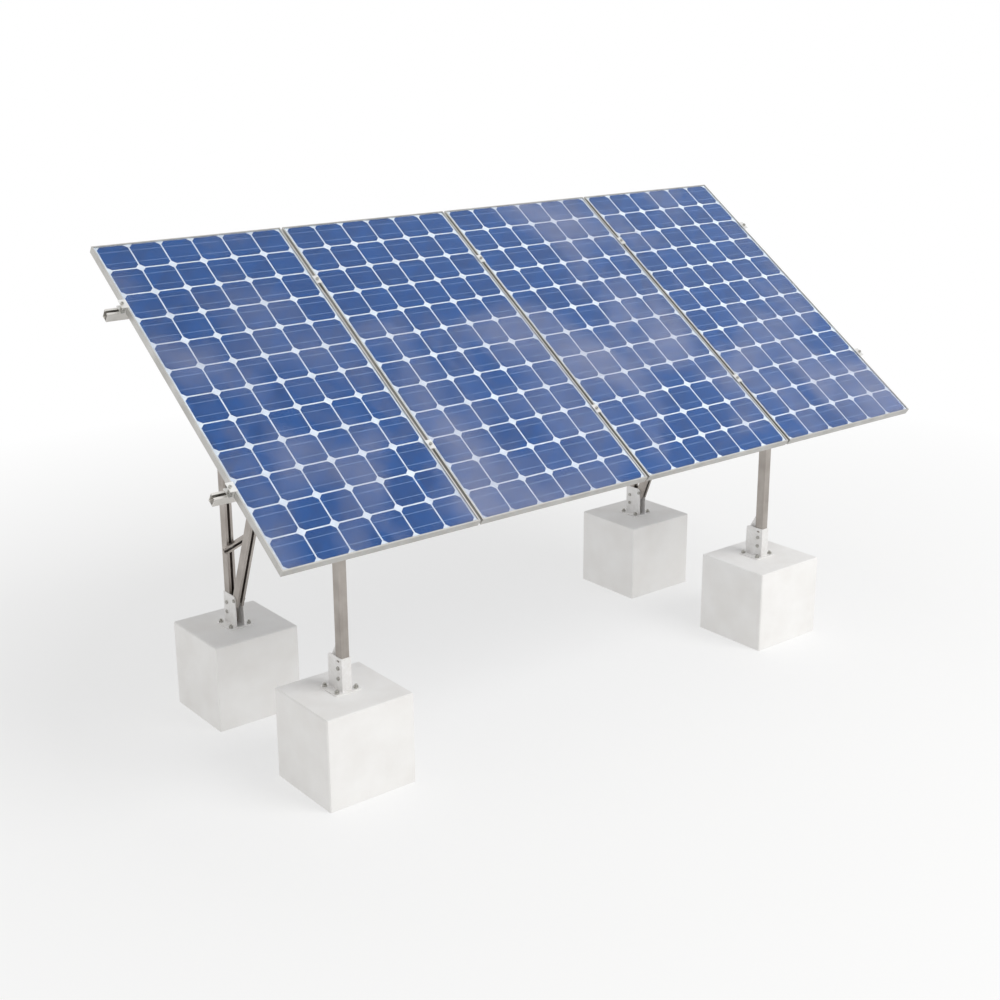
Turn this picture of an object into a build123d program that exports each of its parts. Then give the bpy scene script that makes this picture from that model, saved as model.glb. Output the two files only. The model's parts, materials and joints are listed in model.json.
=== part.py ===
from build123d import *
from math import atan2, cos, radians, sin, tan
import os

os.makedirs("parts", exist_ok=True)

# A ground-standing solar array on four cast ballast blocks.
# +X runs along the array, +Y points to its high rear edge, +Z is up, the ground is z = 0.

# Array
tilt = 35.0
module_count = 4
cell_columns = 6
cell_rows = 12
cell_side_margin = 14.0
cell_end_margin = 7.0
cell_gap = 6.0
cell_corner = 15.0
module_width = 808.0
module_length = 1580.0
module_thick = 28.0
module_gap = 11.0
array_height = 1435.0
rail_overhang_left = 68.0
rail_overhang_right = 25.0

# Module build-up
frame_wall = 1.8
frame_lip = 6.0
frame_ledge = 10.0
frame_flange = 22.0
lip_thick = 1.5
glass_thick = 3.2
cell_thick = 0.4
sheet_thick = 0.5
layer_gap = 0.1
edge_clearance = 0.4
box_width = 120.0
box_length = 90.0
box_depth = 19.0
box_from_top = 130.0
box_corner = 6.0
box_face_round = 2.0
gland_diameter = 14.0
gland_length = 16.0
gland_spacing = 60.0

# Extruded sections
rail_width = 30.0
rail_height = 36.0
member_width = 32.0
member_depth = 40.0
rafter_height = 36.0
brace_height = 28.0
brace_depth = 18.0
wall = 2.5
slot = 11.0
lip = 6.0

# Layout
upper_rail_slope = 475.0
lower_rail_slope = -422.0
foot_inset_left = 383.0
foot_span_x = 2235.0
foot_span_y = 800.0
front_foot_y = -386.0
rafter_end = 62.0
brace_start_height = 685.0
brace_end_height = 1456.0
brace_overrun = 32.0
strut_lean = 21.9
strut_foot_height = 450.0
strut_rear_gap = 12.0
strut_bolt_drop = 19.0
post_foot_gap = 2.0
seat_gap = 0.3

# Ballast and feet
block_width = 370.0
block_depth = 355.0
block_height = 355.0
block_edge = 4.0
plate_size = 110.0
plate_thick = 5.0
plate_corner = 6.0
front_plate_shift = 22.0
anchor_pitch = 82.0
anchor_diameter = 10.0
anchor_depth = 90.0
anchor_clearance = 0.5
anchor_nut_radius = 9.8
anchor_nut_height = 8.0
anchor_stud_height = 14.0
bracket_depth = 92.0
bracket_height = 128.0
bracket_wall = 4.0
bracket_round = 14.0
low_bolt = 46.0
high_bolt = 86.0
slot_hole_height = 113.0
gusset_rise = 70.0
gusset_thick = 5.0

# Fasteners
bolt_diameter = 8.0
bolt_clearance = 0.4
hex_across = 13.0
head_height = 5.5
nut_height = 6.5
nut_clearance = 0.05
bolt_tail = 3.0
washer_thick = 1.6
washer_diameter = 20.0
joint_plate_thick = 4.0
joint_plate_width = 90.0
joint_plate_height = 104.0
joint_plate_corner = 10.0
joint_plate_inset = 3.0
joint_bolt_spacing = 50.0
joint_bolt_drop = 30.0
cleat_thick = 4.0
cleat_foot = 34.0
cleat_drop = 5.0

# Clamps
clamp_length = 42.0
clamp_cover = 8.0
clamp_thick = 3.5
clamp_stem_depth = 20.0
clamp_side_clearance = 0.6
end_clamp_width = 20.0
socket_diameter = 13.0
socket_height = 5.0
socket_key_radius = 3.44
socket_key_depth = 3.0
channel_nut_width = 20.0
channel_nut_thick = 5.0

# Worked out from the sizes above
slope = radians(tilt)
cell_width = (module_width - 2 * cell_side_margin - (cell_columns - 1) * cell_gap) / cell_columns
cell_length = (module_length - 2 * cell_end_margin - (cell_rows - 1) * cell_gap) / cell_rows
module_pitch = module_width + module_gap
array_width = module_count * module_pitch - module_gap
array_x = (rail_overhang_left - rail_overhang_right) / 2
array_y = -module_thick * sin(slope) / 2
array_place = Plane(
    origin=(array_x, array_y, array_height),
    x_dir=(1, 0, 0),
    z_dir=(0, -sin(slope), cos(slope)),
).location
module_xs = [(i - (module_count - 1) / 2) * module_pitch for i in range(module_count)]
seam_xs = [x + module_pitch / 2 for x in module_xs[:-1]]
rail_top = -module_thick
rafter_top = rail_top - rail_height
rafter_bottom = rafter_top - rafter_height
rail_slopes = {"upper": upper_rail_slope, "lower": lower_rail_slope}
left_foot_x = array_x - array_width / 2 + foot_inset_left
foot_xs = {"left": left_foot_x, "right": left_foot_x + foot_span_x}
rear_foot_y = front_foot_y + foot_span_y
front_plate_y = front_foot_y + front_plate_shift
plate_ys = {"front": front_plate_y, "rear": rear_foot_y}
plate_top = block_height + plate_thick
bracket_width = member_width + 2 * bracket_wall
front_post_y = front_plate_y - bracket_depth / 2 + bracket_wall + member_depth / 2
rear_post_y = rear_foot_y + bracket_depth / 2 - bracket_wall - member_depth / 2
strut_lean_angle = radians(strut_lean)
strut_foot_y = rear_post_y - member_depth / 2 - strut_rear_gap - member_depth / 2 / cos(strut_lean_angle)
hole = bolt_diameter + bolt_clearance


def array_point(x, along, normal):
    """World position of a point given across, up the slope and off the face."""
    y = array_y + along * cos(slope) - normal * sin(slope)
    z = array_height + along * sin(slope) + normal * cos(slope)
    return (x, y, z)


def slope_at(y, normal):
    """Distance up the slope at which the line at this depth passes a world Y."""
    return (y - array_y + normal * sin(slope)) / cos(slope)


def save(part, label):
    part.label = label
    export_step(part, f"parts/{label}.step")


def save_group(solids, label):
    save(Compound(children=list(solids)), label)


def channel(width, depth):
    """Slotted C section with turned-in lips, its slot towards +Y of the sketch."""
    with BuildSketch() as section:
        Rectangle(width, depth)
        Rectangle(width - 2 * wall, depth - 2 * wall, mode=Mode.SUBTRACT)
        with Locations((0, depth / 2 - wall / 2)):
            Rectangle(slot, wall, mode=Mode.SUBTRACT)
        with Locations((-(slot + wall) / 2, depth / 2 - lip / 2), ((slot + wall) / 2, depth / 2 - lip / 2)):
            Rectangle(wall, lip)
    return section.sketch


def cross_holes(points, reach):
    """Bolt holes along X through the points given as world positions."""
    with Locations(*[Location(point, (0, 90, 0)) for point in points]):
        Cylinder(hole / 2, 2 * reach, mode=Mode.SUBTRACT)


rafter_underside = Plane(
    origin=array_point(0, 0, rafter_bottom - seat_gap), z_dir=(0, -sin(slope), cos(slope))
)

# ---------------------------------------------------------------- ballast blocks
for row, block_y in (("front", front_foot_y), ("rear", rear_foot_y)):
    for side, foot_x in foot_xs.items():
        with BuildPart() as block:
            with BuildSketch():
                with Locations((foot_x, block_y)):
                    Rectangle(block_width, block_depth)
            extrude(amount=block_height)
            chamfer(block.edges().filter_by(Axis.Z), block_edge)
            chamfer(block.faces().sort_by(Axis.Z)[-1].edges(), block_edge)
            with BuildSketch(Plane.XY.offset(block_height)):
                with Locations((foot_x, plate_ys[row])):
                    with GridLocations(anchor_pitch, anchor_pitch, 2, 2):
                        Circle(anchor_diameter / 2 + anchor_clearance)
            extrude(amount=-anchor_depth, mode=Mode.SUBTRACT)
        save(block.part, f"ballast_block_{row}_{side}")

# ---------------------------------------------------------------- base plates
for row, plate_y in plate_ys.items():
    for side, foot_x in foot_xs.items():
        with BuildPart() as plate:
            with BuildSketch(Plane.XY.offset(block_height)):
                with Locations((foot_x, plate_y)):
                    RectangleRounded(plate_size, plate_size, plate_corner)
                    with GridLocations(anchor_pitch, anchor_pitch, 2, 2):
                        Circle(anchor_diameter / 2 + anchor_clearance, mode=Mode.SUBTRACT)
            extrude(amount=plate_thick)
        save(plate.part, f"base_plate_{row}_{side}")

# ---------------------------------------------------------------- anchors: stud and nut
anchors = []
for plate_y in plate_ys.values():
    for foot_x in foot_xs.values():
        with BuildPart() as anchor:
            with BuildSketch(Plane.XY.offset(plate_top)):
                with Locations((foot_x, plate_y)):
                    with GridLocations(anchor_pitch, anchor_pitch, 2, 2):
                        RegularPolygon(anchor_nut_radius, 6)
            extrude(amount=anchor_nut_height)
            with BuildSketch(Plane.XY.offset(plate_top + anchor_stud_height)):
                with Locations((foot_x, plate_y)):
                    with GridLocations(anchor_pitch, anchor_pitch, 2, 2):
                        Circle(anchor_diameter / 2)
            extrude(amount=-(anchor_depth + plate_thick))
        anchors.extend(anchor.part.solids())
save_group(anchors, "anchor_bolts")

# ---------------------------------------------------------------- foot brackets
strut_bolt_z = plate_top + bracket_height - strut_bolt_drop
strut_bolt_y = strut_foot_y - (strut_bolt_z - strut_foot_height) * tan(strut_lean_angle)
for row, plate_y in plate_ys.items():
    web_side = -1 if row == "front" else 1
    post_y = front_post_y if row == "front" else rear_post_y
    bolt_points = [(post_y, plate_top + low_bolt), (post_y, plate_top + high_bolt)]
    if row == "rear":
        bolt_points.append((strut_bolt_y, strut_bolt_z))
    for side, foot_x in foot_xs.items():
        with BuildPart() as bracket:
            with BuildSketch(Plane.XY.offset(plate_top)):
                with Locations((foot_x, plate_y)):
                    Rectangle(bracket_width, bracket_depth)
                with Locations((foot_x, plate_y - web_side * bracket_wall)):
                    Rectangle(member_width, bracket_depth, mode=Mode.SUBTRACT)
            extrude(amount=bracket_height)
            free_y = plate_y - web_side * bracket_depth / 2
            corners = bracket.edges().filter_by(Axis.X).filter_by_position(
                Axis.Y, free_y - 1, free_y + 1
            ).group_by(Axis.Z)[-1]
            fillet(corners, bracket_round)
            cross_holes([(foot_x, y, z) for y, z in bolt_points], bracket_width)
            if row == "front":
                slot_point = (foot_x, post_y, plate_top + slot_hole_height)
                with BuildSketch(Plane(origin=slot_point, x_dir=(0, 1, 0), z_dir=(1, 0, 0))):
                    SlotOverall(hole * 2, hole)
                extrude(amount=bracket_width, both=True, mode=Mode.SUBTRACT)
        save(bracket.part, f"foot_bracket_{row}_{side}")

# ---------------------------------------------------------------- gussets behind the front posts
gussets = []
gusset_front = front_post_y + member_depth / 2
gusset_back = front_plate_y + bracket_depth / 2
for foot_x in foot_xs.values():
    with BuildPart() as gusset:
        with BuildSketch(Plane(origin=(foot_x, 0, 0), x_dir=(0, 1, 0), z_dir=(1, 0, 0))):
            with BuildLine():
                Polyline(
                    (gusset_front, plate_top),
                    (gusset_back, plate_top),
                    (gusset_back, plate_top + bracket_height - bracket_round),
                    (gusset_front, plate_top + bracket_height + gusset_rise),
                    close=True,
                )
            make_face()
        extrude(amount=gusset_thick / 2, both=True)
    gussets.extend(gusset.part.solids())
save_group(gussets, "foot_gussets")

# ---------------------------------------------------------------- posts, cut to the rafters
joint_slopes = {}
for row, post_y, slot_way in (("front", front_post_y, 1), ("rear", rear_post_y, -1)):
    joint_slope = slope_at(post_y, rafter_bottom)
    joint_slopes[row] = joint_slope
    top_bolt = (post_y, array_point(0, joint_slope, rafter_bottom)[2] - joint_bolt_drop)
    foot_bolts = [(post_y, plate_top + low_bolt), (post_y, plate_top + high_bolt)]
    for side, foot_x in foot_xs.items():
        start = Plane(origin=(foot_x, post_y, plate_top + post_foot_gap), x_dir=(slot_way, 0, 0), z_dir=(0, 0, 1))
        with BuildPart() as post:
            with BuildSketch(start):
                add(channel(member_width, member_depth))
            extrude(amount=array_height + array_width)
            split(bisect_by=rafter_underside, keep=Keep.BOTTOM)
            cross_holes([(foot_x, y, z) for y, z in (*foot_bolts, top_bolt)], member_width)
        save(post.part, f"{row}_post_{side}")

# ---------------------------------------------------------------- struts leaning to the rafters
lean_way = (0, -sin(strut_lean_angle), cos(strut_lean_angle))
strut_reach = array_height + array_width
meet = strut_foot_y
for _ in range(30):  # settles on the point where the strut's middle line meets the rafter
    meet_height = array_point(0, slope_at(meet, rafter_bottom), rafter_bottom)[2]
    meet = strut_foot_y - (meet_height - strut_foot_height) * tan(strut_lean_angle)
joint_slopes["strut"] = slope_at(meet, rafter_bottom)
strut_top_bolt = (
    meet + joint_bolt_drop * sin(strut_lean_angle),
    meet_height - joint_bolt_drop * cos(strut_lean_angle),
)
for side, foot_x in foot_xs.items():
    start = Plane(origin=(foot_x, strut_foot_y, strut_foot_height), x_dir=(-1, 0, 0), z_dir=lean_way)
    with BuildPart() as strut:
        with BuildSketch(start):
            add(channel(member_width, member_depth))
        extrude(amount=strut_reach)
        split(bisect_by=rafter_underside, keep=Keep.BOTTOM)
        cross_holes([(foot_x, strut_bolt_y, strut_bolt_z), (foot_x, *strut_top_bolt)], member_width)
    save(strut.part, f"rear_strut_{side}")

# ---------------------------------------------------------------- rafters
rafter_low = joint_slopes["front"] - rafter_end
rafter_high = joint_slopes["rear"] + rafter_end
rafter_middle = (rafter_top + rafter_bottom) / 2
rafter_bolts = [
    array_point(0, joint_slope + way * joint_bolt_spacing / 2, rafter_middle)
    for joint_slope in joint_slopes.values()
    for way in (-1, 1)
]
for side, foot_x in foot_xs.items():
    start = Plane(
        origin=array_point(foot_x, rafter_low, rafter_middle),
        x_dir=(-1, 0, 0),
        z_dir=(0, cos(slope), sin(slope)),
    )
    with BuildPart() as rafter:
        with BuildSketch(start):
            add(channel(member_width, rafter_height))
        extrude(amount=rafter_high - rafter_low)
        cross_holes([(foot_x, y, z) for _, y, z in rafter_bolts], member_width)
    save(rafter.part, f"rafter_{side}")

# ---------------------------------------------------------------- rails
rail_start = array_x - array_width / 2 - rail_overhang_left
rail_length = array_width + rail_overhang_left + rail_overhang_right
for name, rail_slope in rail_slopes.items():
    start = Plane(
        origin=array_point(rail_start, rail_slope, rail_top - rail_height / 2),
        x_dir=(0, cos(slope), sin(slope)),
        z_dir=(1, 0, 0),
    )
    with BuildPart() as rail:
        with BuildSketch(start):
            add(channel(rail_width, rail_height))
        extrude(amount=rail_length)
    save(rail.part, f"rail_{name}")

# ---------------------------------------------------------------- diagonal brace across the rear posts
brace_rise = brace_end_height - brace_start_height
brace_angle = atan2(brace_rise, foot_span_x)
brace_face_y = rear_post_y - member_depth / 2 - brace_depth / 2
brace_way = (cos(brace_angle), 0, sin(brace_angle))
brace_run = (foot_span_x + 2 * brace_overrun) / cos(brace_angle)
with BuildPart() as brace:
    brace_origin = (
        left_foot_x - brace_overrun,
        brace_face_y,
        brace_start_height - brace_overrun * tan(brace_angle),
    )
    with BuildSketch(Plane(origin=brace_origin, x_dir=(-sin(brace_angle), 0, cos(brace_angle)), z_dir=brace_way)):
        add(channel(brace_height, brace_depth))
    extrude(amount=brace_run)
save(brace.part, "cross_brace")

# ---------------------------------------------------------------- joint plates on both sides of each joint
for side, foot_x in foot_xs.items():
    plates = []
    for name, joint_slope in joint_slopes.items():
        plate_bottom = rafter_top - joint_plate_inset - joint_plate_height
        for way in (-1, 1):
            face_x = foot_x + way * member_width / 2
            start = Plane(
                origin=array_point(face_x, joint_slope, plate_bottom + joint_plate_height / 2),
                x_dir=(0, cos(slope), sin(slope)),
                z_dir=(1, 0, 0),
            )
            with BuildPart() as joint_plate:
                with BuildSketch(start):
                    RectangleRounded(joint_plate_width, joint_plate_height, joint_plate_corner)
                extrude(amount=way * joint_plate_thick)
                points = [(face_x, y, z) for _, y, z in rafter_bolts]
                if name == "strut":
                    points.append((face_x, *strut_top_bolt))
                else:
                    post_y = front_post_y if name == "front" else rear_post_y
                    post_top = array_point(0, joint_slope, rafter_bottom)[2]
                    points.append((face_x, post_y, post_top - joint_bolt_drop))
                cross_holes(points, member_width)
            plates.extend(joint_plate.part.solids())
    save_group(plates, f"joint_plates_{side}")

# ---------------------------------------------------------------- cross bolts and nuts
grip_points = []
for post_y in (front_post_y, rear_post_y):
    for lift in (low_bolt, high_bolt):
        grip_points.append((post_y, plate_top + lift, bracket_wall))
grip_points.append((strut_bolt_y, strut_bolt_z, bracket_wall))
for name, joint_slope in joint_slopes.items():
    if name == "strut":
        grip_points.append((*strut_top_bolt, joint_plate_thick))
    else:
        post_y = front_post_y if name == "front" else rear_post_y
        post_top = array_point(0, joint_slope, rafter_bottom)[2]
        grip_points.append((post_y, post_top - joint_bolt_drop, joint_plate_thick))
for _, y, z in rafter_bolts:
    grip_points.append((y, z, joint_plate_thick))
bolts = []
nuts = []
for foot_x in foot_xs.values():
    for y, z, cover in grip_points:
        half_grip = member_width / 2 + cover
        with BuildPart() as bolt:
            with BuildSketch(Plane(origin=(foot_x - half_grip, y, z), x_dir=(0, 1, 0), z_dir=(-1, 0, 0))):
                RegularPolygon(hex_across / 2, 6, major_radius=False)
            extrude(amount=head_height)
            with BuildSketch(Plane(origin=(foot_x - half_grip, y, z), x_dir=(0, 1, 0), z_dir=(1, 0, 0))):
                Circle(bolt_diameter / 2)
            extrude(amount=2 * half_grip + nut_height + bolt_tail)
        bolts.extend(bolt.part.solids())
        with BuildPart() as nut:
            with BuildSketch(Plane(origin=(foot_x + half_grip, y, z), x_dir=(0, 1, 0), z_dir=(1, 0, 0))):
                RegularPolygon(hex_across / 2, 6, major_radius=False)
                Circle(bolt_diameter / 2 + nut_clearance, mode=Mode.SUBTRACT)
            extrude(amount=nut_height)
        nuts.extend(nut.part.solids())
save_group(bolts, "cross_bolts")
save_group(nuts, "cross_nuts")

# ---------------------------------------------------------------- brace bolts, heads in the slot of the brace
brace_bolts = []
for foot_x in foot_xs.values():
    bolt_z = brace_start_height + (foot_x - left_foot_x) * tan(brace_angle)
    brace_back = brace_face_y + brace_depth / 2
    with BuildPart() as brace_bolt:
        with BuildSketch(Plane(origin=(foot_x, brace_back - wall, bolt_z), x_dir=(1, 0, 0), z_dir=(0, -1, 0))):
            RegularPolygon(hex_across / 2, 6, major_radius=False)
        extrude(amount=head_height)
    brace_bolts.extend(brace_bolt.part.solids())
save_group(brace_bolts, "brace_bolts")

# ---------------------------------------------------------------- cleats that hold the rails to the rafters
# They and the pieces below are built flat, then laid on the slope by array_place.
cleats = []
for foot_x in foot_xs.values():
    for rail_slope in rail_slopes.values():
        with BuildPart() as cleat:
            low = rail_slope - rail_width / 2
            section_plane = Plane(
                origin=(foot_x - array_x - member_width / 2, 0, 0), x_dir=(0, 1, 0), z_dir=(1, 0, 0)
            )
            with BuildSketch(section_plane):
                with BuildLine():
                    Polyline(
                        (low, rafter_top),
                        (low, rail_top - cleat_drop),
                        (low - cleat_thick, rail_top - cleat_drop),
                        (low - cleat_thick, rafter_top + cleat_thick),
                        (low - cleat_foot, rafter_top + cleat_thick),
                        (low - cleat_foot, rafter_top),
                        close=True,
                    )
                make_face()
            extrude(amount=member_width)
        cleats.extend(cleat.part.moved(array_place).solids())
save_group(cleats, "rail_cleats")

# ---------------------------------------------------------------- mid clamps: cover plate and a stem in the gap between two modules
clamp_spots = [(x, y) for y in rail_slopes.values() for x in seam_xs]
mid_clamps = []
for x, y in clamp_spots:
    with BuildPart() as clamp:
        with BuildSketch(Plane.XY):
            with Locations((x, y)):
                Rectangle(module_gap + 2 * clamp_cover, clamp_length)
        extrude(amount=clamp_thick)
        with BuildSketch(Plane.XY):
            with Locations((x, y)):
                Rectangle(module_gap - 2 * clamp_side_clearance, clamp_length)
        extrude(amount=-clamp_stem_depth)
        with BuildSketch(Plane.XY.offset(clamp_thick)):
            with Locations((x, y)):
                Circle(hole / 2)
        extrude(amount=-(clamp_thick + clamp_stem_depth), mode=Mode.SUBTRACT)
    mid_clamps.extend(clamp.part.moved(array_place).solids())
save_group(mid_clamps, "mid_clamps")

# ---------------------------------------------------------------- end clamps: a stepped section
# Its lip holds the outer frame and its foot stands on the rail.
end_clamps = []
end_spots = []
for way in (-1, 1):
    edge_x = way * array_width / 2
    for y in rail_slopes.values():
        outer = edge_x + way * end_clamp_width
        inner = edge_x + way * clamp_side_clearance
        end_spots.append(((outer + inner + way * clamp_thick) / 2, y))
        with BuildPart() as end_clamp:
            with BuildSketch(Plane(origin=(0, y + clamp_length / 2, 0), x_dir=(1, 0, 0), z_dir=(0, -1, 0))):
                with BuildLine():
                    Polyline(
                        (edge_x - way * clamp_cover, 0),
                        (edge_x - way * clamp_cover, clamp_thick),
                        (outer, clamp_thick),
                        (outer, 0),
                        (inner + way * clamp_thick, 0),
                        (inner + way * clamp_thick, rail_top + clamp_thick),
                        (outer, rail_top + clamp_thick),
                        (outer, rail_top),
                        (inner, rail_top),
                        (inner, 0),
                        close=True,
                    )
                make_face()
            extrude(amount=clamp_length)
            with BuildSketch(Plane.XY.offset(clamp_thick)):
                with Locations(end_spots[-1]):
                    Circle(hole / 2)
            extrude(amount=rail_top - clamp_thick, mode=Mode.SUBTRACT)
        end_clamps.extend(end_clamp.part.moved(array_place).solids())
save_group(end_clamps, "end_clamps")

# ---------------------------------------------------------------- clamp screws and the channel nuts under the lips of the rails
nut_top = rail_top - lip
screws = []
channel_nuts = []
for x, y in clamp_spots + end_spots:
    with BuildPart() as screw:
        with BuildSketch(Plane.XY.offset(clamp_thick)):
            with Locations((x, y)):
                Circle(socket_diameter / 2)
        extrude(amount=socket_height)
        with BuildSketch(Plane.XY.offset(clamp_thick)):
            with Locations((x, y)):
                Circle(bolt_diameter / 2)
        extrude(amount=nut_top - channel_nut_thick - clamp_thick)
        with BuildSketch(Plane.XY.offset(clamp_thick + socket_height)):
            with Locations((x, y)):
                RegularPolygon(socket_key_radius, 6)
        extrude(amount=-socket_key_depth, mode=Mode.SUBTRACT)
    screws.extend(screw.part.moved(array_place).solids())
    with BuildPart() as channel_nut:
        with BuildSketch(Plane.XY.offset(nut_top)):
            with Locations((x, y)):
                Rectangle(channel_nut_width, channel_nut_width)
                Circle(bolt_diameter / 2 + nut_clearance, mode=Mode.SUBTRACT)
        extrude(amount=-channel_nut_thick)
    channel_nuts.extend(channel_nut.part.moved(array_place).solids())
save_group(screws, "clamp_screws")
save_group(channel_nuts, "channel_nuts")

# ---------------------------------------------------------------- modules
ledge_top = -lip_thick - 3 * layer_gap - glass_thick - cell_thick - sheet_thick - layer_gap
laminate_width = module_width - 2 * (frame_wall + edge_clearance)
laminate_length = module_length - 2 * (frame_wall + edge_clearance)


def frame_member(length, turn, reach):
    """One mitred frame side: an open section with a glass groove and a foot flange."""
    start = Plane(origin=(-reach, length / 2, 0), x_dir=(1, 0, 0), z_dir=(0, -1, 0))
    with BuildPart() as member:
        with BuildSketch(start):
            with BuildLine():
                Polyline(
                    (0, 0),
                    (frame_lip, 0),
                    (frame_lip, -lip_thick),
                    (frame_wall, -lip_thick),
                    (frame_wall, ledge_top),
                    (frame_ledge, ledge_top),
                    (frame_ledge, ledge_top - lip_thick),
                    (frame_wall, ledge_top - lip_thick),
                    (frame_wall, -module_thick + lip_thick),
                    (frame_flange, -module_thick + lip_thick),
                    (frame_flange, -module_thick),
                    (0, -module_thick),
                    close=True,
                )
            make_face()
        extrude(amount=length)
        for end in (-1, 1):
            corner = (-reach, end * length / 2, 0)
            split(bisect_by=Plane(origin=corner, z_dir=(1, end, 0)), keep=Keep.BOTTOM)
    return member.part.moved(Location((0, 0, 0), (0, 0, turn)))


for index, module_x in enumerate(module_xs, start=1):
    place = array_place * Location((module_x, 0, 0))
    members = [
        frame_member(module_length, 0, module_width / 2),
        frame_member(module_width, 90, module_length / 2),
        frame_member(module_length, 180, module_width / 2),
        frame_member(module_width, 270, module_length / 2),
    ]
    save_group([solid for m in members for solid in m.moved(place).solids()], f"module_frame_{index}")

    glass_top = -lip_thick - layer_gap
    with BuildPart() as glass:
        with BuildSketch(Plane.XY.offset(glass_top)):
            Rectangle(laminate_width, laminate_length)
        extrude(amount=-glass_thick)
    save(glass.part.moved(place), f"front_glass_{index}")

    cell_top = glass_top - glass_thick - layer_gap
    with BuildPart() as cells:
        with BuildSketch(Plane.XY.offset(cell_top)):
            with GridLocations(cell_width + cell_gap, cell_length + cell_gap, cell_columns, cell_rows):
                Rectangle(cell_width, cell_length)
        extrude(amount=-cell_thick)
        chamfer(cells.edges().filter_by(Axis.Z), cell_corner)
    save(cells.part.moved(place), f"solar_cells_{index}")

    sheet_top = cell_top - cell_thick - layer_gap
    with BuildPart() as backsheet:
        with BuildSketch(Plane.XY.offset(sheet_top)):
            Rectangle(laminate_width, laminate_length)
        extrude(amount=-sheet_thick)
    save(backsheet.part.moved(place), f"backsheet_{index}")

    box_top = sheet_top - sheet_thick
    box_y = module_length / 2 - box_from_top
    with BuildPart() as junction_box:
        with BuildSketch(Plane.XY.offset(box_top)):
            with Locations((0, box_y)):
                RectangleRounded(box_width, box_length, box_corner)
        extrude(amount=-box_depth)
        fillet(junction_box.faces().sort_by(Axis.Z)[0].edges(), box_face_round)
        gland_y = box_y - box_length / 2
        gland_face = Plane(origin=(0, gland_y, box_top - box_depth / 2), x_dir=(1, 0, 0), z_dir=(0, -1, 0))
        with BuildSketch(gland_face):
            with Locations((-gland_spacing / 2, 0), (gland_spacing / 2, 0)):
                Circle(gland_diameter / 2)
        extrude(amount=gland_length)
    save(junction_box.part.moved(place), f"junction_box_{index}")
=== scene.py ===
import json
import math
import bmesh
import bpy
import numpy as np
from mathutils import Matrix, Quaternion, Vector


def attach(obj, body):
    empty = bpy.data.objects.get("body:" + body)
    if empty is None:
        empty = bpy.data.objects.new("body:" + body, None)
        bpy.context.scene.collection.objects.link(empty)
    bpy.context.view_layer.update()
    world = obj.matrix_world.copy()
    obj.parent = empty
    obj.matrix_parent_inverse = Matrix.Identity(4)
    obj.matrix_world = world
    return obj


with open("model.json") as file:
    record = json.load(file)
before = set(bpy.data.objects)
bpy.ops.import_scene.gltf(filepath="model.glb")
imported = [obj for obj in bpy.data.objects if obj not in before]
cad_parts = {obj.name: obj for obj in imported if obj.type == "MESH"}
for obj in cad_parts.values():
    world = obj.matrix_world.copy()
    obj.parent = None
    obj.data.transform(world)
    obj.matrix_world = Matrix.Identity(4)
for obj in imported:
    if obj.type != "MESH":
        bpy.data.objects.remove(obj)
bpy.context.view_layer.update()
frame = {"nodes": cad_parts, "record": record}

nodes = frame["nodes"]
mm = 0.001  # a millimetre in metres, which Blender works in

# The array's own directions: along the rails, up the slope, and out of the glass
array = dict(tiltDegrees=35.0, modules=4, cellRows=12, cellGap=6 * mm)
tilt = math.radians(array["tiltDegrees"])
alongArray = np.array((1.0, 0.0, 0.0))
upSlope = np.array((0.0, math.cos(tilt), math.sin(tilt)))
outOfGlass = np.array((0.0, -math.sin(tilt), math.cos(tilt)))


def nodePoints(name):
    # a CAD node's corners, as rows of x, y, z in metres
    mesh = nodes[name].data
    flat = np.empty(len(mesh.vertices) * 3)
    mesh.vertices.foreach_get("co", flat)
    return flat.reshape(-1, 3)


def reach(name, direction):
    # how far a node goes along a direction, lowest and highest
    heights = nodePoints(name) @ direction
    return heights.min(), heights.max()


def longAxis(name):
    # the direction that an extrusion was pressed in
    points = nodePoints(name)
    return Vector(np.linalg.svd(points - points.mean(axis=0), full_matrices=False)[2][0])


def putInScene(name, mesh, material):
    # a finished bmesh becomes an object with one material
    data = bpy.data.meshes.new(name)
    mesh.to_mesh(data)
    mesh.free()
    data.materials.append(material)
    made = bpy.data.objects.new(name, data)
    bpy.context.collection.objects.link(made)
    return made


# Materials

def colour(hexCode):
    # sRGB hex to the linear values that Blender mixes
    parts = [int(hexCode[i:i + 2], 16) / 255 for i in (1, 3, 5)]
    return tuple(c / 12.92 if c <= 0.04045 else ((c + 0.055) / 1.055) ** 2.4 for c in parts) + (1.0,)


def perMetre(sizeInMm):
    # texture scale for a feature of this size
    return 1 / (sizeInMm * mm)


def add(owner, kind, settings=(), links=(), **values):
    # one node with its settings, its socket values (spaces as _) and what feeds it
    node = owner.node_tree.nodes.new("ShaderNode" + kind)
    for name, value in dict(settings).items():
        setattr(node, name, value)
    for name, value in values.items():
        node.inputs[name.replace("_", " ")].default_value = value
    for name, source in dict(links).items():
        owner.node_tree.links.new(source, node.inputs[name])
    return node


def newMaterial(name):
    material = bpy.data.materials.new(name)
    material.use_nodes = True
    material.node_tree.nodes.clear()
    return material


def finishMaterial(material, shader):
    add(material, "OutputMaterial", links={"Surface": shader})
    return material


def between(material, factor, first, second):
    # a colour that goes from the first hex to the second
    mix = add(material, "Mix", dict(data_type="RGBA"), {0: factor})
    mix.inputs[6].default_value = colour(first)
    mix.inputs[7].default_value = colour(second)
    return mix.outputs[2]


def remap(owner, source, low, high, fromLow=0.3, fromHigh=0.7):
    # noise sits mostly between 0.3 and 0.7, so that is spread over the wanted range
    made = add(owner, "MapRange", links={0: source})
    for socket, value in zip(range(1, 5), (fromLow, fromHigh, low, high)):
        made.inputs[socket].default_value = value
    return made.outputs[0]


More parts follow.
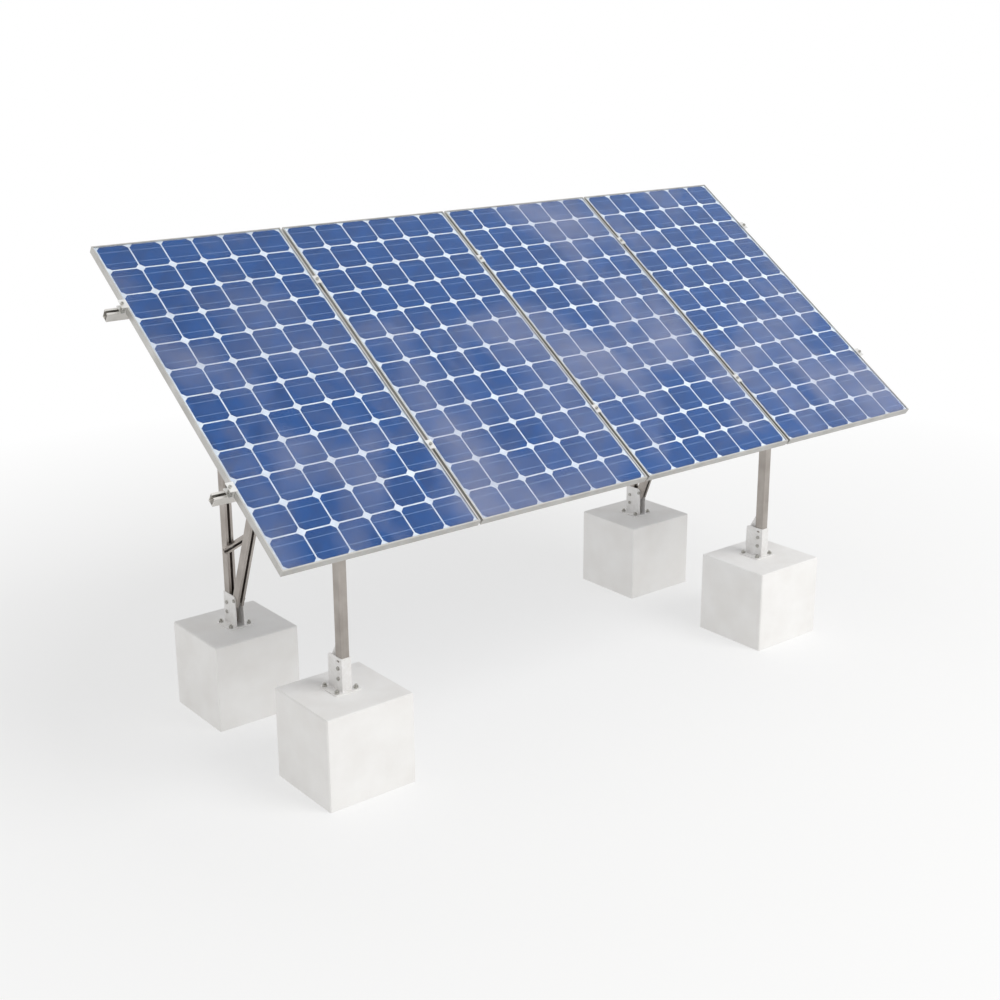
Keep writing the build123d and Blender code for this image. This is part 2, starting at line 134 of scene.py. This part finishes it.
def blended(material, source, share, other):
    # a share of one pattern laid over another
    made = add(material, "Math", dict(operation="MULTIPLY_ADD"), {0: source, 2: other})
    made.inputs[1].default_value = share
    return made.outputs[0]


def castConcrete():
    # Concrete cast in a smooth form and painted white: matt, faintly mottled, with small air holes
    look = dict(pale="#f3f2f0", dull="#eceae7", mottleMm=140, poreMm=24, sandMm=2.5,
                grainDepthMm=0.5, holeDepthMm=0.8, smoothest=0.80, roughest=0.92)
    material = newMaterial("castConcretePainted")
    place = add(material, "TexCoord").outputs["Object"]
    mottle = add(material, "TexNoise", links={"Vector": place}, Scale=perMetre(look["mottleMm"]), Detail=5.0)
    sand = add(material, "TexNoise", links={"Vector": place}, Scale=perMetre(look["sandMm"]), Detail=2.0)
    pores = add(material, "TexVoronoi", links={"Vector": place}, Scale=perMetre(look["poreMm"]))
    holes = remap(material, pores.outputs["Distance"], 0.0, 1.0, 0.05, 0.13)  # small round dips, far apart
    grain = add(material, "Bump", links={"Height": sand.outputs[0]},
                Strength=0.25, Distance=look["grainDepthMm"] * mm)
    pitted = add(material, "Bump", links={"Height": holes, "Normal": grain.outputs[0]},
                 Strength=0.4, Distance=look["holeDepthMm"] * mm)
    paint = add(material, "BsdfPrincipled", links={
        "Base Color": between(material, remap(material, mottle.outputs[0], 0, 1), look["pale"], look["dull"]),
        "Roughness": remap(material, sand.outputs[0], look["smoothest"], look["roughest"]),
        "Normal": pitted.outputs[0]}, IOR=1.5)
    return finishMaterial(material, paint.outputs[0])


def galvanisedSteel():
    # Hot-dip galvanised steel: pale grey zinc with a soft crystal pattern, duller where it weathers
    look = dict(bright="#f4f3f2", dull="#e2e0dd", crystalMm=9, crystalShare=0.4, weatherMm=35,
                rippleDepthMm=0.4, smoothest=0.40, roughest=0.58)
    material = newMaterial("galvanisedSteel")
    place = add(material, "TexCoord").outputs["Object"]
    crystals = add(material, "TexVoronoi", links={"Vector": place}, Scale=perMetre(look["crystalMm"]))
    weather = add(material, "TexNoise", links={"Vector": place},
                  Scale=perMetre(look["weatherMm"]), Detail=4.0)
    shade = blended(material, crystals.outputs["Color"], look["crystalShare"],
                    remap(material, weather.outputs[0], 0.0, 1 - look["crystalShare"]))
    ripple = add(material, "Bump", links={"Height": weather.outputs[0]},
                 Strength=0.2, Distance=look["rippleDepthMm"] * mm)
    zinc = add(material, "BsdfPrincipled", links={
        "Base Color": between(material, shade, look["bright"], look["dull"]),
        "Roughness": remap(material, shade, look["smoothest"], look["roughest"], 0, 1),
        "Normal": ripple.outputs[0]}, Metallic=0.25)  # gone matt and chalky, so it hardly mirrors
    return finishMaterial(material, zinc.outputs[0])


def extrudedAluminium(name, axis, bright, dull, roughness):
    # Aluminium pressed through a die: satin, with fine lines that run the length of the bar
    look = dict(lineMm=2.2, lineLengthMm=700, lineShare=0.6, smudgeMm=90, scoreDepthMm=0.2)
    material = newMaterial(name)
    place = add(material, "TexCoord").outputs["Object"]
    along = axis.to_track_quat("Z", "Y").inverted().to_euler()  # turns the bar's length onto Z
    turned = add(material, "Mapping", links={"Vector": place}, Rotation=along)
    drawn = add(material, "Mapping", links={"Vector": turned.outputs[0]}, Scale=(
        perMetre(look["lineMm"]), perMetre(look["lineMm"]), perMetre(look["lineLengthMm"])))
    lines = add(material, "TexNoise", links={"Vector": drawn.outputs[0]}, Scale=1.0, Detail=3.0)
    smudges = add(material, "TexNoise", links={"Vector": place}, Scale=perMetre(look["smudgeMm"]), Detail=4.0)
    shade = blended(material, lines.outputs[0], look["lineShare"],
                    remap(material, smudges.outputs[0], -0.1, 0.5))
    scored = add(material, "Bump", links={"Height": lines.outputs[0]},
                 Strength=0.12, Distance=look["scoreDepthMm"] * mm)
    metal = add(material, "BsdfPrincipled", links={
        "Base Color": between(material, shade, bright, dull),
        "Roughness": remap(material, shade, roughness - 0.06, roughness + 0.08, 0, 1),
        "Normal": scored.outputs[0]}, Metallic=1.0)
    return finishMaterial(material, metal.outputs[0])


def zincFastener():
    # Zinc-plated steel: darker and shinier than the galvanised plates
    look = dict(bright="#c9c8c4", dull="#98968f", smudgeMm=6, smoothest=0.25, roughest=0.42)
    material = newMaterial("zincPlatedSteel")
    place = add(material, "TexCoord").outputs["Object"]
    smudges = add(material, "TexNoise", links={"Vector": place}, Scale=perMetre(look["smudgeMm"]), Detail=3.0)
    worn = remap(material, smudges.outputs[0], 0, 1)
    plating = add(material, "BsdfPrincipled", links={
        "Base Color": between(material, worn, look["bright"], look["dull"]),
        "Roughness": remap(material, smudges.outputs[0], look["smoothest"], look["roughest"])}, Metallic=1.0)
    return finishMaterial(material, plating.outputs[0])


def siliconCell():
    # Monocrystalline silicon with a blue anti-reflection coat: each cell a shade of its own.
    # Its hair-thin silver fingers are too fine to show, so soft upright bands 6 pi = 18.85 mm apart
    # stand for them.
    look = dict(blue="#0a4380", deep="#11376c", ownShare=0.6, mottleMm=45,
                silver="#33619a", bandMm=6 * math.pi, bandMost=0.16, smoothest=0.33, roughest=0.43)
    wavePeriod = 2 * math.pi / 20  # metres from band to band of a wave texture at scale 1
    material = newMaterial("coatedSilicon")
    place = add(material, "TexCoord").outputs["Object"]
    own = add(material, "NewGeometry").outputs["Random Per Island"]
    mottle = add(material, "TexNoise", links={"Vector": place}, Scale=perMetre(look["mottleMm"]), Detail=3.0)
    shade = blended(material, own, look["ownShare"],
                    remap(material, mottle.outputs[0], 0.0, 1 - look["ownShare"]))
    bands = add(material, "TexWave", dict(bands_direction="X"), {"Vector": place},
                Scale=perMetre(look["bandMm"]) * wavePeriod)
    coat = add(material, "Mix", dict(data_type="RGBA"), {
        0: remap(material, bands.outputs[1], 0.0, look["bandMost"], 0.8, 1.0),
        6: between(material, shade, look["blue"], look["deep"])})
    coat.inputs[7].default_value = colour(look["silver"])
    wafer = add(material, "BsdfPrincipled", links={
        "Base Color": coat.outputs[2],
        "Roughness": remap(material, mottle.outputs[0], look["smoothest"], look["roughest"])},
        IOR=1.6, Specular_IOR_Level=0.12)  # the clear resin round the cell takes most of its shine
    return finishMaterial(material, wafer.outputs[0])


def backFilm():
    # White polymer film laminated behind the cells: matt, faintly wavy over them
    look = dict(white="#d2d4da", grey="#c5c8d0", wavesMm=60, waveDepthMm=0.6, smoothest=0.5, roughest=0.65)
    material = newMaterial("whiteBackFilm")
    place = add(material, "TexCoord").outputs["Object"]
    waves = add(material, "TexNoise", links={"Vector": place}, Scale=perMetre(look["wavesMm"]), Detail=3.0)
    relief = add(material, "Bump", links={"Height": waves.outputs[0]},
                 Strength=0.2, Distance=look["waveDepthMm"] * mm)
    film = add(material, "BsdfPrincipled", links={
        "Base Color": between(material, remap(material, waves.outputs[0], 0, 1), look["white"], look["grey"]),
        "Roughness": remap(material, waves.outputs[0], look["smoothest"], look["roughest"]),
        "Normal": relief.outputs[0]}, IOR=1.45)
    return finishMaterial(material, film.outputs[0])


def rolledGlass():
    # Tempered rolled glass: clear, with a faint roller texture,
    # and soft pale purple-grey patches over it: a painted reflection of clouds, laid on as a thin matt film
    look = dict(tint="#f4f9fb", rollerMm=8, rollerDepthMm=0.1, smoothest=0.03, roughest=0.07,
                # the purple-grey and the patch settings below draw the painted reflection of clouds
                ior=1.22, paintedReflection="#b0b2c8", paintedReflectionMost=0.22,
                reflectionPatchMm=700, reflectionPatchSeed=5.0, reflectionPatchFrom=0.46, reflectionPatchTo=0.68)
    material = newMaterial("rolledGlass")
    place = add(material, "TexCoord").outputs["Object"]
    roller = add(material, "TexNoise", links={"Vector": place}, Scale=perMetre(look["rollerMm"]), Detail=2.0)
    relief = add(material, "Bump", links={"Height": roller.outputs[0]},
                 Strength=0.04, Distance=look["rollerDepthMm"] * mm)
    # The IOR of real glass is 1.52, at which the pane mirrors the white studio and pales the cells
    pane = add(material, "BsdfPrincipled", links={
        "Roughness": remap(material, roller.outputs[0], look["smoothest"], look["roughest"]),
        "Normal": relief.outputs[0]},
        Base_Color=colour(look["tint"]), Transmission_Weight=1.0, IOR=look["ior"])
    # Painted reflection: large soft patches of matt pale purple-grey, mixed over the pane, stand for clouds
    # mirrored in the glass
    reflectionPatches = add(material, "TexNoise", dict(noise_dimensions="4D"), {"Vector": place},
                 W=look["reflectionPatchSeed"], Scale=perMetre(look["reflectionPatchMm"]), Detail=4.0, Distortion=0.9)
    paintedReflection = add(material, "BsdfDiffuse", Color=colour(look["paintedReflection"]))
    paneWithPaintedReflection = add(material, "MixShader", links={
        0: remap(material, reflectionPatches.outputs[0], 0.0, look["paintedReflectionMost"], look["reflectionPatchFrom"], look["reflectionPatchTo"]),
        1: pane.outputs[0], 2: paintedReflection.outputs[0]})
    clear = add(material, "BsdfTransparent")
    lamps = add(material, "LightPath")  # lamp light goes straight through the pane to the cells
    both = add(material, "MixShader", links={
        0: lamps.outputs["Is Shadow Ray"], 1: paneWithPaintedReflection.outputs[0], 2: clear.outputs[0]})
    return finishMaterial(material, both.outputs[0])


def boxPlastic():
    # Moulded black polymer with a fine spark-eroded grain
    look = dict(black="#1b1b1c", worn="#2b2b2c", grainMm=1.2, grainDepthMm=0.1, smoothest=0.45, roughest=0.6)
    material = newMaterial("mouldedBlackPlastic")
    place = add(material, "TexCoord").outputs["Object"]
    grain = add(material, "TexNoise", links={"Vector": place}, Scale=perMetre(look["grainMm"]), Detail=2.0)
    relief = add(material, "Bump", links={"Height": grain.outputs[0]},
                 Strength=0.3, Distance=look["grainDepthMm"] * mm)
    plastic = add(material, "BsdfPrincipled", links={
        "Base Color": between(material, remap(material, grain.outputs[0], 0, 1), look["black"], look["worn"]),
        "Roughness": remap(material, grain.outputs[0], look["smoothest"], look["roughest"]),
        "Normal": relief.outputs[0]}, IOR=1.5)
    return finishMaterial(material, plastic.outputs[0])


# Single bars get die lines along their own length: name, bright, dull, roughness
barFinish = dict(
    aluminium_section=("millAluminium", "#bab4ae", "#9a938d", 0.42),
    rail=("railAluminium", "#e2e0dc", "#c9c6c1", 0.4),
)
# The rest share one finish a slot. A module frame runs both ways, so its lines go through its thickness.
sharedFinish = dict(
    concrete=castConcrete(),
    galvanised_steel=galvanisedSteel(),
    zinc_fasteners=zincFastener(),
    clamp_aluminium=extrudedAluminium("clampAluminium", Vector(alongArray), "#ececea", "#d2d1ce", 0.36),
    frame_anodised=extrudedAluminium("anodisedAluminium", Vector(outOfGlass), "#c8c7c4", "#aeaca8", 0.4),
    silicon_cell=siliconCell(),
    white_backsheet=backFilm(),
    solar_glass=rolledGlass(),
    black_plastic=boxPlastic(),
)


def dressNodes():
    slots = {part["node"]: part["material_slot"] for part in frame["record"]["subparts"]}
    for name, node in nodes.items():
        finish = slots[name]
        if finish in barFinish:
            look = barFinish["rail" if name.startswith("rail_") else finish]
            material = extrudedAluminium(f"{look[0]}_{name}", longAxis(name), *look[1:])
        else:
            material = sharedFinish[finish]
        node.data.materials.clear()
        node.data.materials.append(material)


dressNodes()
print("nodes dressed:", len(nodes))


# Tinned copper ribbons that join the cells of a row, in the 0.1 mm between the cells and the glass

def ribbonMetal():
    # Solder-tinned copper tape: softly shining, dulled to a pale blue by the resin over it
    look = dict(bright="#8ea6c4", dull="#6d88ad", smudgeMm=10, roughness=0.35)
    material = newMaterial("tinnedCopper")
    place = add(material, "TexCoord").outputs["Object"]
    smudges = add(material, "TexNoise", links={"Vector": place}, Scale=perMetre(look["smudgeMm"]), Detail=2.0)
    worn = remap(material, smudges.outputs[0], 0, 1)
    tin = add(material, "BsdfPrincipled", links={
        "Base Color": between(material, worn, look["bright"], look["dull"])},
        Metallic=0.6, Roughness=look["roughness"])
    return finishMaterial(material, tin.outputs[0])


ribbon = dict(width=1.6 * mm, thickness=0.06 * mm, above=0.02 * mm, fromMiddle=31 * mm, short=2 * mm)


def bar(mesh, middle, half):
    # a bar from its middle and its three half-lengths, each a vector
    for vert in bmesh.ops.create_cube(mesh, size=2.0)["verts"]:
        x, y, z = vert.co
        vert.co = Vector(middle + half[0] * x + half[1] * y + half[2] * z)


def makeRibbons(index, material):
    cells = f"solar_cells_{index}"
    left, right = reach(cells, alongArray)
    bottom, top = reach(cells, upSlope)
    height = reach(cells, outOfGlass)[1] + ribbon["above"] + ribbon["thickness"] / 2
    rowPitch = (top - bottom + array["cellGap"]) / array["cellRows"]
    half = (alongArray * ((right - left) / 2 - ribbon["short"]), upSlope * ribbon["width"] / 2,
            outOfGlass * ribbon["thickness"] / 2)
    mesh = bmesh.new()
    for row in range(array["cellRows"]):
        rowMiddle = bottom + (row + 0.5) * rowPitch - array["cellGap"] / 2
        for side in (-1, 1):
            slope = rowMiddle + side * ribbon["fromMiddle"]
            bar(mesh, alongArray * (left + right) / 2 + upSlope * slope + outOfGlass * height, half)
    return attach(putInScene(f"tabbing_ribbons_{index}", mesh, material), "root")


tinned = ribbonMetal()
ribbons = [makeRibbons(index + 1, tinned) for index in range(array["modules"])]
print("ribbons made:", len(ribbons))


# Studio: pale floor that fades to white, one broad soft key lamp, white surroundings

studio = dict(floorColour="#f4f4f3", floorRadius=14.0, floorDrop=0.5 * mm,
              leastWhite=0.5, fadeFrom=2.0, fadeTo=5.0, skyStrength=0.66,
              keyPower=360, keySize=5.0, keyDistance=9.0, keyAzimuth=22, keyElevation=42, keyAim=0.9)


def makeFloor():
    # half white near the object, which keeps its shadow soft, and all white far out
    material = newMaterial("studioFloor")
    place = add(material, "TexCoord").outputs["Object"]
    distance = add(material, "VectorMath", dict(operation="LENGTH"), {0: place})
    fade = remap(material, distance.outputs["Value"], studio["leastWhite"], 1,
                 studio["fadeFrom"], studio["fadeTo"])
    matt = add(material, "BsdfDiffuse", Color=colour(studio["floorColour"]))
    white = add(material, "Emission", Strength=1.0)
    shader = add(material, "MixShader", links={0: fade, 1: matt.outputs[0], 2: white.outputs[0]})
    finishMaterial(material, shader.outputs[0])
    mesh = bmesh.new()
    bmesh.ops.create_circle(mesh, cap_ends=True, segments=96, radius=studio["floorRadius"])
    floor = putInScene("studio_floor", mesh, material)
    floor.location.z = -studio["floorDrop"]


def makeSky():
    # plain white where it is seen, mirrored or seen through glass, and dimmer where it lights
    world = bpy.data.worlds.new("studioSurround")
    bpy.context.scene.world = world
    world.use_nodes = True
    world.node_tree.nodes.clear()
    path = add(world, "LightPath")
    seen = add(world, "Math", dict(operation="MAXIMUM"), {
        0: path.outputs["Is Camera Ray"], 1: path.outputs["Is Glossy Ray"]})
    shown = add(world, "Math", dict(operation="MAXIMUM"), {
        0: seen.outputs[0], 1: path.outputs["Is Transmission Ray"]})
    level = remap(world, shown.outputs[0], studio["skyStrength"], 1.0, 0, 1)
    back = add(world, "Background", links={"Strength": level}, Color=(1, 1, 1, 1))
    add(world, "OutputWorld", links={"Surface": back.outputs[0]})


def direction(azimuth, elevation):
    # from the object towards a lamp or the camera; 0 degrees is in front, at -Y, and 90 at +X
    a, e = math.radians(azimuth), math.radians(elevation)
    return Vector((math.sin(a) * math.cos(e), -math.cos(a) * math.cos(e), math.sin(e)))


def makeKeyLamp():
    lamp = bpy.data.lights.new("keyLamp", "AREA")
    lamp.size = studio["keySize"]
    lamp.energy = studio["keyPower"]
    holder = bpy.data.objects.new("keyLamp", lamp)
    towards = direction(studio["keyAzimuth"], studio["keyElevation"])
    holder.location = Vector((0, 0, studio["keyAim"])) + towards * studio["keyDistance"]
    holder.rotation_mode = "QUATERNION"
    holder.rotation_quaternion = towards.to_track_quat("Z", "Y")
    bpy.context.collection.objects.link(holder)


# The camera stands left of the array, a little above the top of it
stand = dict(target=(-0.388, 0.006, 0.956), distance=5.9, azimuth=-37.3, elevation=16.5, roll=-0.7,
             lens=52.55, sensor=36, shiftX=0.040, shiftY=-0.035)


def makeCamera():
    lens = bpy.data.cameras.new("camera")
    lens.lens = stand["lens"]
    lens.sensor_width = stand["sensor"]
    lens.shift_x, lens.shift_y = stand["shiftX"], stand["shiftY"]
    camera = bpy.data.objects.new("camera", lens)
    back = direction(stand["azimuth"], stand["elevation"])
    camera.location = Vector(stand["target"]) + back * stand["distance"]
    camera.rotation_mode = "QUATERNION"
    roll = Quaternion((0, 0, 1), math.radians(stand["roll"]))
    camera.rotation_quaternion = back.to_track_quat("Z", "Y") @ roll
    bpy.context.collection.objects.link(camera)
    bpy.context.scene.camera = camera


makeFloor()
makeSky()
makeKeyLamp()
makeCamera()
bpy.context.scene.view_settings.view_transform = "Standard"
print("studio ready")
